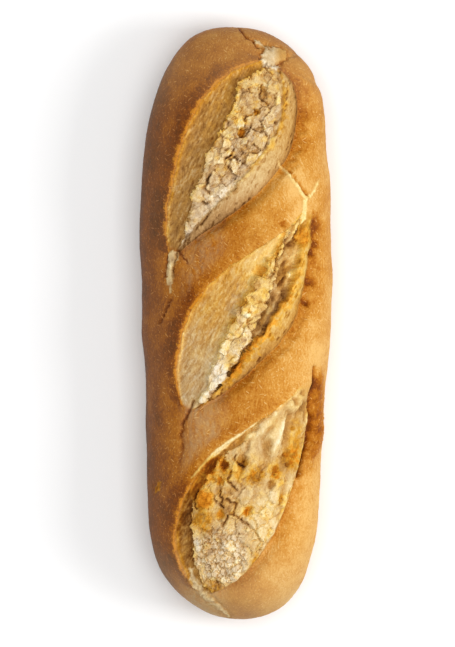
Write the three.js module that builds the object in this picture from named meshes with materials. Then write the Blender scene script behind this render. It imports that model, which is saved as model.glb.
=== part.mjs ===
// A short baguette: one loaf with blunt round ends, a flat base and three slanting slashes across its top.
// Units are millimetres. X runs along the loaf, Y across it and Z up. The loaf lies on its base at Z = 0,
// with the origin under its middle. The slashes were cut from the +X end down towards the -X end.
import * as THREE from "three";
import { mergeVertices } from "three/addons/utils/BufferGeometryUtils.js";

// Driving dimensions of the whole loaf
const LENGTH = 250;
const WIDTH = 81.5;
const CROWN_HEIGHT = 54; // top of the plain loaf, before the crust swells beside the slashes
const WAIST_HEIGHT = 21; // where the sides bulge furthest out
const BELLY_DEPTH = 27; // how far the lower curve would reach below the waist if the tray did not stop it

// Roundness of the loaf's outlines: a superellipse is a circle at 2 and squarer above it
const BLUNTNESS_FIRST_END = 4;
const BLUNTNESS_LAST_END = 6;
const ROUNDNESS_FIRST_END = 2.4;
const ROUNDNESS_LAST_END = 2.05;
const SECTION_ROUNDNESS = 2.25;
const TAPER = 0.05; // the first end is this share wider than the middle, and the last end narrower
const TAPER_RUN = 41.7; // distance from the middle over which most of that change comes

// The loaf's middle line isn't quite straight: stretches of X over which it moves towards +Y, and how far
const BENDS = [
  { from: -10, to: -70, by: 1.9 },
  { from: -98, to: -126, by: -3.4 },
  { from: 112, to: 125, by: 1.5 },
];

// Where one side swells out or pulls in: its X, the side (1 is +Y), its reach along X, and how far it moves
const SIDE_SWELLS = [
  { x: 98, side: -1, reach: 14, by: 1.1 },
  { x: 73, side: -1, reach: 13, by: -1.9 },
  { x: -68, side: -1, reach: 26, by: -0.4 },
  { x: 38, side: 1, reach: 14, by: 0.7 },
  { x: -3, side: 1, reach: 11, by: 1.3 },
  { x: -62, side: 1, reach: 22, by: -0.9 },
];

// The slashes. Each is a leaf between two tips, in plan. Its lip is the raised edge of the crust on the
// +Y side and its wall the edge on the -Y side: both are offsets from the line between the tips, at the
// stations below. The floor is a height above or below the plain loaf, in even steps from lip to wall.
// The torn share is the part of that way where the crumb is ragged.
const STATIONS = 8;
const SLASHES = [
  {
    firstTip: [110, -13.5],
    lastTip: [27, 27],
    lip: [0, 5.5, 13.5, 17.5, 17, 13, 9, 3.2, 0],
    wall: [0, 13.4, 21, 24.7, 22.2, 14.7, 6, 1.8, 0],
    floor: [-1.6, -1.5, -1.0, 0.9, 1.5, 1.4, 0.8, -0.6, -2.8],
    torn: [0.32, 0.8],
  },
  {
    firstTip: [50, -30],
    lastTip: [-37, 20.5],
    lip: [0, 0.6, 3.6, 11.5, 18.5, 19.5, 13.5, 5, 0],
    wall: [0, 4.6, 11, 18, 21, 16, 9.5, 3.5, 0],
    floor: [-1.3, -0.9, -0.4, 0.8, 1.6, -2.5, -4.5, -2.2, -1.8],
    torn: [0.38, 0.8],
  },
  {
    firstTip: [-16.5, -32.5],
    lastTip: [-114, 15],
    lip: [0, 0.3, 2.2, 10.5, 21, 23.5, 19, 8, 0],
    wall: [0, 1.4, 6.2, 12.4, 17, 18, 14, 6.5, 0],
    floor: [-1.8, -2.2, 0.2, 0.8, 0.6, 0.9, 0.6, -0.8, -2.6],
    torn: [0.24, 0.9],
  },
];
const LIP_RISE = 1.9; // the lip stands this far above the plain loaf
const LIP_REACH = 9; // and its slope runs this far out over the crust
const LIP_STEP_RUN = 0.6; // the step down inside the lip is this wide in plan
const CREASE_REACH = 3.2; // the wall side rolls down into a crease over this width
const SWELL_RISE = 1.8; // the crust between the slashes swells up
const SWELL_REACH = 12;
const FULL_SLASH_WIDTH = 26; // a slash narrower than this is shallower too, so that it dies out at its tips
const RELIEF_FADE = 7; // the relief dies out over this height down to the waist
const FAINTEST_LIP = 0.12; // share of the full relief below which a lip has no step
const CRAG_SIZE = 4.2; // ragged crumb: size of a lump, and how far it stands out or in
const CRAG_DEPTH = 1.5;
const CRAG_FADE = 0.08; // share of the way across over which the crags start and stop
const CRAG_SEEDS = [127.1, 311.7, 43758.5453];

// The crust pushed out into a shoulder beside the first tip of the first slash
const SHOULDER = { x: 105, y: -29, radius: 8, rise: 2 };

// The rolled-back crust along the wall side of the last slash, near its first tip
const ROLL_WIDTH = 5.5;
const ROLL_RISE = 2.4;
const ROLL_SPAN = [0.02, 0.42];

// How finely the skin is divided: columns over the top, columns under the waist, and rings along the loaf
const TOP_COLUMNS = 38;
const BELLY_COLUMNS = 14;
const RINGS = 104;
const ARC_STEPS = 2000; // steps that measure the crown's length, for rings at even steps
const LIP_HALVINGS = 20; // times that the search for a lip halves its range
const SLOPE_STEP = 0.5; // distance over which a slope of the crown is measured
const WELD_DISTANCE = 1e-4;
const THINNEST = 1e-6;

const { clamp, lerp, smoothstep } = THREE.MathUtils;
const HALF_LENGTH = LENGTH / 2;
const CROWN_RISE = CROWN_HEIGHT - WAIST_HEIGHT;

// A smooth line through values at even steps, read at a share from 0 to 1.
function through(values, share) {
  const last = values.length - 1;
  const place = clamp(share, 0, 1) * last;
  const i = Math.min(Math.floor(place), last - 1);
  const at = (k) => values[clamp(k, 0, last)];
  const [a, b, c, d] = [at(i - 1), at(i), at(i + 1), at(i + 2)];
  const f = place - i;
  return b + 0.5 * f * (c - a + f * (2 * a - 5 * b + 4 * c - d + f * (3 * (b - c) + d - a)));
}

// How full the loaf is at x: 1 in the middle and 0 at the tips of its ends.
function fullness(x) {
  const along = clamp(Math.abs(x) / HALF_LENGTH, 0, 1);
  const bluntness = x > 0 ? BLUNTNESS_FIRST_END : BLUNTNESS_LAST_END;
  const roundness = x > 0 ? ROUNDNESS_FIRST_END : ROUNDNESS_LAST_END;
  return Math.pow(1 - Math.pow(along, bluntness), 1 / roundness);
}

// Where the loaf's middle line lies at x.
function middleAt(x) {
  const moved = ({ from, to, by }) => by * smoothstep((x - from) / (to - from), 0, 1);
  return BENDS.reduce((sum, bend) => sum + moved(bend), 0);
}

// How far one side lies from the middle line at x, where a positive side is +Y.
function halfWidth(x, side) {
  const even = (WIDTH / 2 / (1 + TAPER)) * (1 + TAPER * Math.tanh(x / TAPER_RUN));
  const onSide = SIDE_SWELLS.filter((swell) => swell.side === Math.sign(side));
  const moved = onSide.map((swell) => swell.by * Math.exp(-(((x - swell.x) / swell.reach) ** 2)));
  return moved.reduce((sum, by) => sum + by, even) * fullness(x);
}

// Height of the plain loaf's top at a place in plan.
function crownAt(x, y) {
  const offset = y - middleAt(x);
  const across = clamp(Math.abs(offset) / Math.max(halfWidth(x, offset), THINNEST), 0, 1);
  const rise = Math.pow(1 - Math.pow(across, SECTION_ROUNDNESS), 1 / SECTION_ROUNDNESS);
  return WAIST_HEIGHT + CROWN_RISE * fullness(x) * rise;
}

// Upward normal of the plain loaf's top.
function crownNormal(x, y) {
  const slopeX = (crownAt(x + SLOPE_STEP, y) - crownAt(x - SLOPE_STEP, y)) / (2 * SLOPE_STEP);
  const slopeY = (crownAt(x, y + SLOPE_STEP) - crownAt(x, y - SLOPE_STEP)) / (2 * SLOPE_STEP);
  return new THREE.Vector3(-slopeX, -slopeY, 1).normalize();
}

// The line along the crown from the first end to the last, for rings at even steps along it.
class CrownLine extends THREE.Curve {
  getPoint(share, target = new THREE.Vector3()) {
    const x = HALF_LENGTH * Math.cos(Math.PI * share);
    return target.set(x, middleAt(x), crownAt(x, middleAt(x)));
  }
}

// A slash's own axes in plan, and its edges.
class Slash {
  constructor(shape) {
    Object.assign(this, shape);
    this.origin = new THREE.Vector2(...shape.firstTip);
    this.axis = new THREE.Vector2(...shape.lastTip).sub(this.origin);
    this.length = this.axis.length();
    this.axis.normalize();
    this.side = new THREE.Vector2(this.axis.y, -this.axis.x); // towards the lip
  }

  // Share of the length from the first tip, and offset towards the lip.
  locate(x, y) {
    const from = new THREE.Vector2(x, y).sub(this.origin);
    return { share: from.dot(this.axis) / this.length, offset: from.dot(this.side) };
  }

  // Stations crowd towards the tips, where the leaf's edges turn fastest.
  edge(values, share) {
    return through(values, Math.acos(1 - 2 * clamp(share, 0, 1)) / Math.PI);
  }

  // Share of the full relief, which the slash's width allows at a share of its length.
  fade(share) {
    return smoothstep(this.edge(this.lip, share) + this.edge(this.wall, share), 0, FULL_SLASH_WIDTH);
  }

  // Height above the plain loaf that the slash gives a place.
  relief(x, y) {
    const { share, offset } = this.locate(x, y);
    const fade = this.fade(share);
    if (fade === 0) return 0;
    const lip = this.edge(this.lip, share);
    const wall = this.edge(this.wall, share);
    if (offset >= lip) {
      return fade * LIP_RISE * Math.exp(-(((offset - lip) / LIP_REACH) ** 2));
    }
    const crease = this.floor[STATIONS];
    if (offset <= -wall) {
      const out = -wall - offset;
      const dip = crease * Math.exp(-((out / CREASE_REACH) ** 2));
      const swell = SWELL_RISE * Math.exp(-(((out - SWELL_REACH) / SWELL_REACH) ** 2));
      return fade * (dip + swell * smoothstep(out, 0, CREASE_REACH) + this.roll(share, out));
    }
    const across = (lip - offset) / (lip + wall);
    return fade * (through(this.floor, across) + this.crags(across, x, y));
  }

  // Ragged crumb in the torn part of the floor.
  crags(across, x, y) {
    const [start, end] = this.torn;
    const inside = smoothstep(across, start, start + CRAG_FADE) * smoothstep(end - across, 0, CRAG_FADE);
    return inside * CRAG_DEPTH * lumps(x / CRAG_SIZE, y / CRAG_SIZE);
  }

  // The crust that curled back from the cut, where this slash has it.
  roll(share, out) {
    if (!this.rolled) return 0;
    const [start, end] = ROLL_SPAN;
    const along = Math.sin(Math.PI * clamp((share - start) / (end - start), 0, 1));
    const across = clamp(1 - Math.abs(out - ROLL_WIDTH / 2) / (ROLL_WIDTH / 2), 0, 1);
    return ROLL_RISE * along * Math.sqrt(across);
  }

  // Where the lip crosses the loaf at x, or null where the slash has no lip there.
  lipCrossing(x) {
    let [low, high] = [-WIDTH / 2, WIDTH / 2];
    for (let halving = 0; halving < LIP_HALVINGS; halving++) {
      const y = (low + high) / 2;
      const { share, offset } = this.locate(x, y);
      if (offset > this.edge(this.lip, share)) high = y;
      else low = y;
    }
    return this.fade(this.locate(x, low).share) > FAINTEST_LIP ? low : null;
  }
}

// Smooth random lumps between -1 and 1, one for each unit square, the same on every run.
function lumps(x, y) {
  const [across, along, spread] = CRAG_SEEDS;
  const random = (i, j) => {
    const mixed = Math.sin(i * across + j * along) * spread;
    return 2 * (mixed - Math.floor(mixed)) - 1;
  };
  const [i, j] = [Math.floor(x), Math.floor(y)];
  const [f, g] = [smoothstep(x - i, 0, 1), smoothstep(y - j, 0, 1)];
  const near = lerp(random(i, j), random(i + 1, j), f);
  const far = lerp(random(i, j + 1), random(i + 1, j + 1), f);
  return lerp(near, far, g);
}

const slashes = SLASHES.map((shape) => new Slash(shape));
slashes[slashes.length - 1].rolled = true;

// A point of the plain loaf's section at x: its place across the loaf, and its share of the rise or depth.
function sectionPoint(x, angle) {
  const [c, s] = [Math.cos(angle), Math.sin(angle)];
  const reach = Math.abs(c) ** SECTION_ROUNDNESS + Math.abs(s) ** SECTION_ROUNDNESS;
  const radius = Math.pow(reach, -1 / SECTION_ROUNDNESS);
  return { y: middleAt(x) + halfWidth(x, c) * radius * c, rise: radius * s };
}

// Where the skin's columns cross the top at x. The two columns nearest to a lip are drawn onto it, one to
// the crest and one to the foot of its step, so that the torn edge is a clean line.
function columnsAcross(x) {
  const turns = Array.from({ length: TOP_COLUMNS + 1 }, (_, k) => (Math.PI * k) / TOP_COLUMNS);
  const across = turns.map((angle) => sectionPoint(x, angle).y);
  for (const slash of slashes) {
    const lip = slash.lipCrossing(x);
    const foot = across.findIndex((y) => y < lip);
    if (lip === null || foot < 1) continue;
    across[foot - 1] = lip + LIP_STEP_RUN / 2;
    across[foot] = lip - LIP_STEP_RUN / 2;
  }
  return across;
}

// How far the shoulder pushes the crust out.
function shoulder(x, y) {
  const away = Math.hypot(x - SHOULDER.x, y - SHOULDER.y) / SHOULDER.radius;
  return SHOULDER.rise * Math.exp(-(away ** 2));
}

// A point of the skin over the waist: on the crown, lifted or sunk by the slashes and the shoulder.
function topPoint(x, y) {
  const onCrown = new THREE.Vector3(x, y, crownAt(x, y));
  const height = slashes.reduce((sum, slash) => sum + slash.relief(x, y), shoulder(x, y));
  const faded = height * smoothstep(onCrown.z - WAIST_HEIGHT, 0, RELIEF_FADE);
  return onCrown.addScaledVector(crownNormal(x, y), faded);
}

// A point of the skin under the waist: a belly that the tray has pressed flat.
function bellyPoint(x, turn) {
  const { y, rise } = sectionPoint(x, Math.PI * (1 + turn));
  const z = WAIST_HEIGHT + BELLY_DEPTH * fullness(x) * rise;
  return new THREE.Vector3(x, y, Math.max(0, z));
}

// The places round the loaf at x, over the top and back under the belly.
function ringPoints(x) {
  const top = columnsAcross(x).map((y) => topPoint(x, y));
  const turns = Array.from({ length: BELLY_COLUMNS - 1 }, (_, k) => (k + 1) / BELLY_COLUMNS);
  return top.concat(turns.map((turn) => bellyPoint(x, turn)));
}

// Drops the triangles that have shrunk to a line where the grid closes to a point.
function withoutSlivers(geometry) {
  const corners = Array.from(geometry.index.array);
  const kept = [];
  for (let i = 0; i < corners.length; i += 3) {
    const triangle = corners.slice(i, i + 3);
    if (new Set(triangle).size === 3) kept.push(...triangle);
  }
  return geometry.setIndex(kept);
}

// The loaf's skin: a grid wrapped round the loaf, which closes to a point at each end.
function loafGeometry() {
  const columns = TOP_COLUMNS + BELLY_COLUMNS;
  const skin = new THREE.PlaneGeometry(1, 1, columns, RINGS);
  const line = new CrownLine();
  line.arcLengthDivisions = ARC_STEPS;
  const rings = Array.from({ length: RINGS + 1 }, (_, k) => ringPoints(line.getPointAt(k / RINGS).x));
  rings[0].fill(new THREE.Vector3(HALF_LENGTH, middleAt(HALF_LENGTH), WAIST_HEIGHT));
  rings[RINGS].fill(new THREE.Vector3(-HALF_LENGTH, middleAt(-HALF_LENGTH), WAIST_HEIGHT));
  const { position } = skin.attributes;
  for (let i = 0; i < position.count; i++) {
    const ring = Math.floor(i / (columns + 1));
    const column = i % (columns + 1);
    position.setXYZ(i, ...rings[ring][column % columns]);
  }
  skin.deleteAttribute("normal");
  skin.deleteAttribute("uv");
  const closed = withoutSlivers(mergeVertices(skin, WELD_DISTANCE));
  closed.computeBoundingBox();
  const middle = closed.boundingBox.getCenter(new THREE.Vector3());
  closed.translate(-middle.x, -middle.y, -closed.boundingBox.min.z);
  closed.computeVertexNormals();
  return closed;
}

const crust = new THREE.MeshStandardMaterial({ color: 0xc8853a, roughness: 0.7, metalness: 0 });
const loaf = new THREE.Mesh(loafGeometry(), crust);
loaf.name = "loaf";

const baguette = new THREE.Group();
baguette.name = "baguette";
baguette.add(loaf);

export default baguette;
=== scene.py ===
import math

import bpy
import numpy as np
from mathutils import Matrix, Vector, noise


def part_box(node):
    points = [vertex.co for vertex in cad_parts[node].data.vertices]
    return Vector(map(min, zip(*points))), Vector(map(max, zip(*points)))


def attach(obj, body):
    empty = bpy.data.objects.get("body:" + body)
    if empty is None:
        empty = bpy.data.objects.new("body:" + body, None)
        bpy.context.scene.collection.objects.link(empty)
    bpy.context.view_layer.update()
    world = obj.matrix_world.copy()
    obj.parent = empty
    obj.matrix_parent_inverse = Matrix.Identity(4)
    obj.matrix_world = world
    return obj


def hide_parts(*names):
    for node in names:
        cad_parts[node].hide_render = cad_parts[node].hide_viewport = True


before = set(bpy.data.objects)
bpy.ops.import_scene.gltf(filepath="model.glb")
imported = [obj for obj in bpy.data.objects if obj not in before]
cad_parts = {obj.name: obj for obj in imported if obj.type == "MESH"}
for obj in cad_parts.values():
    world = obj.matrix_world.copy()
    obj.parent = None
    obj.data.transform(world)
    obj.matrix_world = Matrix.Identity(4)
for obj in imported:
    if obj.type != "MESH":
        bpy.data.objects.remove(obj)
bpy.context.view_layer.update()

# The shaped dough: wheat dough rolled into a short thick baton with blunt ends and laid on a tray to rise.
# Its own weight presses the base flat and bulges the sides out over it. X runs along the loaf, Y across, Z
# up, and every size from here to the mesh is in millimetres.
MM = 0.001
low_corner, high_corner = [np.array(corner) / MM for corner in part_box("loaf")]
LENGTH, WIDTH, HEIGHT = high_corner - low_corner
HALF_LENGTH = LENGTH / 2
SPRING = 2.8  # how far the slashed crust stands up over the plain dough
WAIST = 21  # height at which the sides bulge furthest
CROWN_RISE = HEIGHT - SPRING - WAIST
BELLY = 27  # how far the lower curve would reach below the waist without the tray
BLUNT_FIRST_END, BLUNT_LAST_END = 4, 6
FIRST_END_ROUNDNESS, LAST_END_ROUNDNESS = 2.4, 2.05
SECTION_ROUNDNESS = 2.25
TAPER = 0.05  # the first end is this share wider than the middle, and the last end narrower
TAPER_RUN = 41.7  # distance from the middle over which most of that change comes
TRAY_SOFTNESS = 1.1  # size of the turn from the side into the base
BENDS = ((-10, -70, 1.9), (-98, -126, -3.4), (112, 125, 1.5))  # X from, X to, and the middle's move to +Y
SIDE_SWELLS = (  # X, side (1 is +Y), reach along X, and how far that side moves out
    (98, -1, 14, 1.1), (73, -1, 13, -1.9), (-68, -1, 26, -0.4),
    (38, 1, 14, 0.7), (-3, 1, 11, 1.3), (-62, 1, 22, -0.9),
)
TINY = 1e-6  # keeps divisions safe where the loaf runs out


def smooth(value, start, end):
    """0 before the start and 1 past the end, with a soft slope between. The end may be the lower one."""
    share = np.clip((value - start) / (end - start), 0, 1)
    return share * share * (3 - 2 * share)


def bell(value, reach):
    """1 at nothing, dying away over the reach to either side."""
    return np.exp(-((value / reach) ** 2))


def middle_line(x):
    return sum(by * smooth(x, start, end) for start, end, by in BENDS)


def fullness(x):
    along = np.clip(np.abs(x) / HALF_LENGTH, 0, 1)
    bluntness = np.where(x > 0, BLUNT_FIRST_END, BLUNT_LAST_END)
    return (1 - along**bluntness) ** (1 / np.where(x > 0, FIRST_END_ROUNDNESS, LAST_END_ROUNDNESS))


def half_width(x, side):
    """How far one side lies from the middle line, where a positive side is +Y."""
    wide = WIDTH / 2 / (1 + TAPER) * (1 + TAPER * np.tanh(x / TAPER_RUN))
    for swell_x, swell_side, reach, by in SIDE_SWELLS:
        wide = wide + by * bell(x - swell_x, reach) * (side * swell_side > 0)
    return wide * fullness(x)


def section(x, angle):
    """The plain loaf's outline across at x: (y, z) at an angle that turns from +Y up over the top."""
    c, s = np.cos(angle), np.sin(angle)
    reach = (np.abs(c) ** SECTION_ROUNDNESS + np.abs(s) ** SECTION_ROUNDNESS) ** (-1 / SECTION_ROUNDNESS)
    z = WAIST + np.where(s > 0, CROWN_RISE, BELLY) * fullness(x) * reach * s
    y = middle_line(x) + half_width(x, c) * reach * c
    return y, TRAY_SOFTNESS * np.logaddexp(0, z / TRAY_SOFTNESS)


def crown(x, y):
    """Height of the plain loaf's top at a place in plan."""
    offset = y - middle_line(x)
    across = np.clip(np.abs(offset) / np.maximum(half_width(x, offset), TINY), 0, 1)
    return WAIST + CROWN_RISE * fullness(x) * (1 - across**SECTION_ROUNDNESS) ** (1 / SECTION_ROUNDNESS)


# The slashes: three slanting cuts made with a blade before baking. The oven opened each into a leaf. On its
# +Y side the crust lifted into a thin lip. Inside lie a stretched band of skin, a torn strip of crumb, a
# hollow beside it, and a smooth wall from a ragged rim down to a crease under the next bridge of crust.
def through(values, share):
    """A smooth line through values at even steps, read at shares from 0 to 1."""
    values = np.array(values, float)
    last = len(values) - 1
    place = np.clip(share, 0, 1) * last
    i = np.minimum(place.astype(int), last - 1)
    a, b, c, d = (values[np.clip(i + k, 0, last)] for k in (-1, 0, 1, 2))
    f = place - i
    return b + 0.5 * f * (c - a + f * (2 * a - 5 * b + 4 * c - d + f * (3 * (b - c) + d - a)))


def ragged(along, size, seed):
    """A jagged value between about -1 and 1 along a line, with teeth down to a sixteenth of the size."""
    flat = np.ravel(along) / size
    return np.array([noise.fractal((v, seed * 7.7, 3.1), 0.6, 2.0, 5) for v in flat]).reshape(np.shape(along))


class Slash:
    LINES = ("lip", "torn", "hollow", "rim", "wall")
    FULL_WIDTH = 26  # a slash narrower than this is shallower too, so that it dies out at its tips
    CALM_TIPS = 0.06  # the lines lose their teeth towards the tips, below this product of the two shares

    def __init__(
        self, tips, lines, teeth, heights, tones, warmths,
        broken, toasted, rim_heat, brinks, streaky, soft_wall,
    ):
        """Lines are offsets from the line between the tips, at nine stations that crowd towards the tips, and
        teeth are each line's swing and the size of its teeth. Tones, warmths, how broken the crumb is, how
        toasted the lip is and how toasted the rim is are at even steps from the first tip. The brinks are the
        half width of the torn strip's edge, the width of the toasted rim and the painted shade on the band at
        the torn strip's foot. Streaky is how strongly the band shows its streaks, and the wall passes into
        crust over the soft wall to either side of the crease."""
        self.origin = np.array(tips[0], float)
        self.axis = np.array(tips[1], float) - self.origin
        self.length = np.hypot(*self.axis)
        self.axis /= self.length
        self.side = np.array([self.axis[1], -self.axis[0]])  # towards the lip
        self.lines, self.teeth, self.heights = lines, teeth, heights
        self.tones, self.warmths, self.broken = tones, warmths, broken
        self.toasted, self.rim_heat = toasted, rim_heat
        self.torn_brink, self.rim_brink, self.foot_shade = brinks
        self.streaky, self.soft_wall = streaky, soft_wall

    def locate(self, x, y):
        """Share of the length from the first tip, and offset towards the lip."""
        dx, dy = x - self.origin[0], y - self.origin[1]
        share = (dx * self.axis[0] + dy * self.axis[1]) / self.length
        return share, dx * self.side[0] + dy * self.side[1]

    def smooth_line(self, name, share):
        return through(self.lines[name], np.arccos(1 - 2 * np.clip(share, 0, 1)) / np.pi)

    def line(self, name, share):
        inside = np.clip(share, 0, 1)
        number = self.LINES.index(name)
        swing, size = self.teeth[number]
        jagged = swing * ragged(inside * self.length, size, number + self.length)
        return self.smooth_line(name, share) + jagged * smooth(inside * (1 - inside), 0, self.CALM_TIPS)

    def fade(self, share):
        return smooth(self.line("lip", share) - self.line("wall", share), 0, self.FULL_WIDTH)

    def cover(self, x, y, margin):
        """1 inside the leaf and its margin, falling to 0 over a little more than the same distance again."""
        share, offset = self.locate(x, y)
        beyond = np.maximum(offset - self.line("lip", share), self.line("wall", share) - offset)
        beyond = np.maximum(beyond, self.length * np.maximum(-share, share - 1))
        return 1 - smooth(beyond, margin, 2 * margin + 2)


SLASHES = [
    Slash(
        tips=((110, -13.5), (27, 27)),
        lines={
            "lip": (0, 5.5, 13.2, 17.6, 17.2, 13.2, 8.8, 3.2, 0),
            "torn": (0, 1, 6, 5, 6, 3, -0.2, -0.8, 0),
            "hollow": (0, -7, -12.6, -15, -11.6, -6.7, -2.1, -1.3, 0),
            "rim": (0, -7.4, -13.2, -16, -12.4, -7.3, -2.4, -1.4, 0),
            "wall": (0, -14, -22.2, -26, -22.8, -14.9, -6, -1.8, 0),
        },
        teeth=((0.6, 5), (1.5, 8), (1.0, 6), (1.0, 6), (0.4, 14)),
        heights=dict(foot=-0.9, band=-2.2, torn=1.6, back=-0.3, hollow=-0.7, rim=0.4, crease=-2.8),
        tones={
            "band": (0.46, 0.43, 0.43, 0.44, 0.44),
            "torn": (0.58, 0.7, 0.69, 0.73, 0.76),
            "hollow": (0.56, 0.56, 0.58, 0.6, 0.56),
            "wall": (0.56, 0.52, 0.63, 0.45, 0.4),
        },
        warmths={
            "band": (0.8, 0.74, 0.65, 0.62, 0.6),
            "torn": (0.56, 0.46, 0.34, 0.16, 0.12),
            "hollow": (0.4, 0.45, 0.4, 0.3, 0.2),
            "wall": (0.55, 0.62, 0.46, 0.34, 0.3),
        },
        broken=(0.8, 1, 1, 0.7, 0.5),
        toasted=(0.8, 1, 1, 1, 1),
        rim_heat=(0.45, 0.55, 0.25, 0.05, 0),
        brinks=(0.5, 1.5, 0),
        streaky=0.8,
        soft_wall=0.2,
    ),
    Slash(
        tips=((50, -30), (-37, 20.5)),
        lines={
            "lip": (0, 0.6, 3, 11.3, 18.4, 18.8, 13, 5.5, 0),
            "torn": (0, 0.4, 2, 2.7, 4.2, 1.8, -1, -1.8, 0),
            "hollow": (0, 0.2, 1.2, -3.2, -7.2, -7.5, -6, -3, 0),
            "rim": (0, -2.4, -6.3, -11.5, -11.6, -9, -6.1, -3.1, 0),
            "wall": (0, -4.6, -11.1, -17.9, -20.9, -15.9, -9.4, -3.5, 0),
        },
        teeth=((0.5, 6), (1.6, 6), (1.2, 6), (1.1, 5), (0.7, 9)),
        heights=dict(foot=-0.9, band=-2.0, torn=1.9, back=1.2, hollow=-4.2, rim=0.4, crease=-2.4),
        tones={
            "band": (0.6, 0.65, 0.5, 0.55, 0.57),
            "torn": (0.6, 0.67, 0.7, 0.81, 0.7),
            # the deep hollow's low tones are partly painted shade
            "hollow": (0.6, 0.5, 0.48, 0.42, 0.42),
            "wall": (0.62, 0.62, 0.58, 0.48, 0.46),
        },
        warmths={
            "band": (0.7, 0.76, 0.86, 0.54, 0.36),
            "torn": (0.8, 0.76, 0.74, 0.36, 0.34),
            "hollow": (0.85, 0.66, 0.55, 0.8, 0.85),
            "wall": (0.8, 0.8, 0.74, 0.66, 0.6),
        },
        broken=(0.5, 0.8, 0.8, 0.8, 0.6),
        toasted=(0, 0.2, 0.65, 1, 1),
        rim_heat=(0.2, 0.45, 0.85, 0.75, 0.2),
        brinks=(1.5, 2.4, -0.1),
        streaky=0.6,
        soft_wall=0.4,
    ),
    Slash(
        tips=((-16.5, -32.5), (-114, 15)),
        lines={
            "lip": (0, 0.3, 2.2, 10.5, 20.8, 23.4, 19, 8, 0),
            "torn": (0, 0.2, 1.6, 9, 17, 19.8, 12, 1.2, 0),
            "hollow": (0, -0.8, -4.9, -10.8, -14.4, -14.7, -11.8, -5.6, 0),
            "rim": (0, -0.9, -5.2, -11.2, -14.8, -15.2, -12.2, -5.8, 0),
            "wall": (0, -1.4, -6.2, -12.4, -16.8, -17.9, -13.8, -6.5, 0),
        },
        teeth=((0.6, 6), (1.6, 7), (0.8, 7), (0.4, 8), (0.3, 12)),
        heights=dict(foot=-1.2, band=-2.4, torn=0.7, back=0.5, hollow=0.2, rim=0.3, crease=-2.8),
        tones={
            "band": (0.62, 0.62, 0.32, 0.26, 0.46),
            "torn": (0.5, 0.62, 0.69, 0.68, 0.66),
            "hollow": (0.64, 0.64, 0.66, 0.7, 0.64),
            "wall": (0.64, 0.64, 0.68, 0.7, 0.62),
        },
        warmths={
            "band": (0.66, 0.7, 0.76, 0.74, 0.7),
            "torn": (0.74, 0.55, 0.46, 0.46, 0.42),
            "hollow": (0.62, 0.6, 0.58, 0.56, 0.56),
            "wall": (0.56, 0.52, 0.48, 0.46, 0.5),
        },
        broken=(0, 0, 0.4, 0.65, 0.55),
        toasted=(0.5, 0.6, 0.6, 0.4, 0.1, 0.85, 0.9, 0.85, 0.8),
        rim_heat=(0.5, 0.45, 0.4, 0.3, 0.3),
        brinks=(0.7, 1.2, 0.08),
        streaky=0.9,
        soft_wall=2.0,
    ),
]

# The skin of the loaf as a grid of points: rings from the first end to the last, and columns that start
# under the base and turn over +Y. Columns crowd together over the crumb and are sparse on the base.
RINGS, COLUMNS = 508, 196
CRUMB_SPACING, CRUST_SPACING, BASE_SPACING = 0.45, 0.95, 3.2
CRUMB_MARGIN = 2.5  # close columns reach this far past a slash
BASE_STARTS, BASE_ENDS = 2, 14  # depth below the waist over which columns spread out
TRIAL_RINGS, TRIAL_COLUMNS = 4001, 801  # points of the plain loaf on which the spacing is measured
RELIEF_FADE = 7  # the slashes' relief dies out over this height down to the waist
LIP_STEP = 0.3  # plan width of the step from a lip's crest to its foot
LEAST_LIP = 0.04  # share of a slash's full depth at which its lip starts
HALVINGS = 24  # steps in which the place of a lip on a ring is found


def between(start, end, share):
    return start + (end - start) * share


trial_x = HALF_LENGTH * np.cos(np.pi * np.linspace(0, 1, TRIAL_RINGS))
trial_z = crown(trial_x, middle_line(trial_x))
crown_run = np.concatenate([[0], np.cumsum(np.hypot(np.diff(trial_x), np.diff(trial_z)))])
ring_x = np.interp(np.linspace(0, crown_run[-1], RINGS + 1), crown_run, trial_x)[1:-1]

turn = np.linspace(-np.pi / 2, 1.5 * np.pi, TRIAL_COLUMNS)
fine_y, fine_z = section(ring_x[:, None], turn[None, :])
fine_x = np.broadcast_to(ring_x[:, None], fine_y.shape)
covers = [slash.cover(fine_x, fine_y, CRUMB_MARGIN) for slash in SLASHES]
over_crumb = np.max(covers, axis=0) * (np.sin(turn) > 0)
spacing = between(CRUST_SPACING, BASE_SPACING, smooth(WAIST - fine_z, BASE_STARTS, BASE_ENDS))
spacing = between(spacing, CRUMB_SPACING, over_crumb)
run = np.hypot(np.diff(fine_y, axis=1), np.diff(fine_z, axis=1))
columns_so_far = np.cumsum(run / spacing[:, 1:], axis=1)
angles = np.array([
    np.interp(np.arange(COLUMNS) / COLUMNS * so_far[-1], np.concatenate([[0], so_far]), turn)
    for so_far in columns_so_far
])
y, z = section(ring_x[:, None], angles)
x = np.broadcast_to(ring_x[:, None], y.shape).copy()
on_top = np.sin(angles) > 0
above_waist = on_top * smooth(z - WAIST, 0, RELIEF_FADE)

# The two columns nearest to a lip are drawn onto it, one to its crest and one to its foot.
for slash in SLASHES:
    lowest, highest = np.full(len(ring_x), -WIDTH / 2), np.full(len(ring_x), WIDTH / 2)
    for halving in range(HALVINGS):
        middle = (lowest + highest) / 2
        share, offset = slash.locate(ring_x, middle)
        past = offset > slash.line("lip", share)
        highest, lowest = np.where(past, middle, highest), np.where(past, lowest, middle)
    has_lip = slash.fade(slash.locate(ring_x, lowest)[0]) > LEAST_LIP
    for ring in np.flatnonzero(has_lip):
        foot = np.argmax(on_top[ring] & (y[ring] < lowest[ring]))
        y[ring, foot - 1] = lowest[ring] + LIP_STEP / 2
        y[ring, foot] = lowest[ring] - LIP_STEP / 2
z = np.where(on_top, crown(x, y), z)
plain = np.stack([x, y, z], axis=-1)

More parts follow.
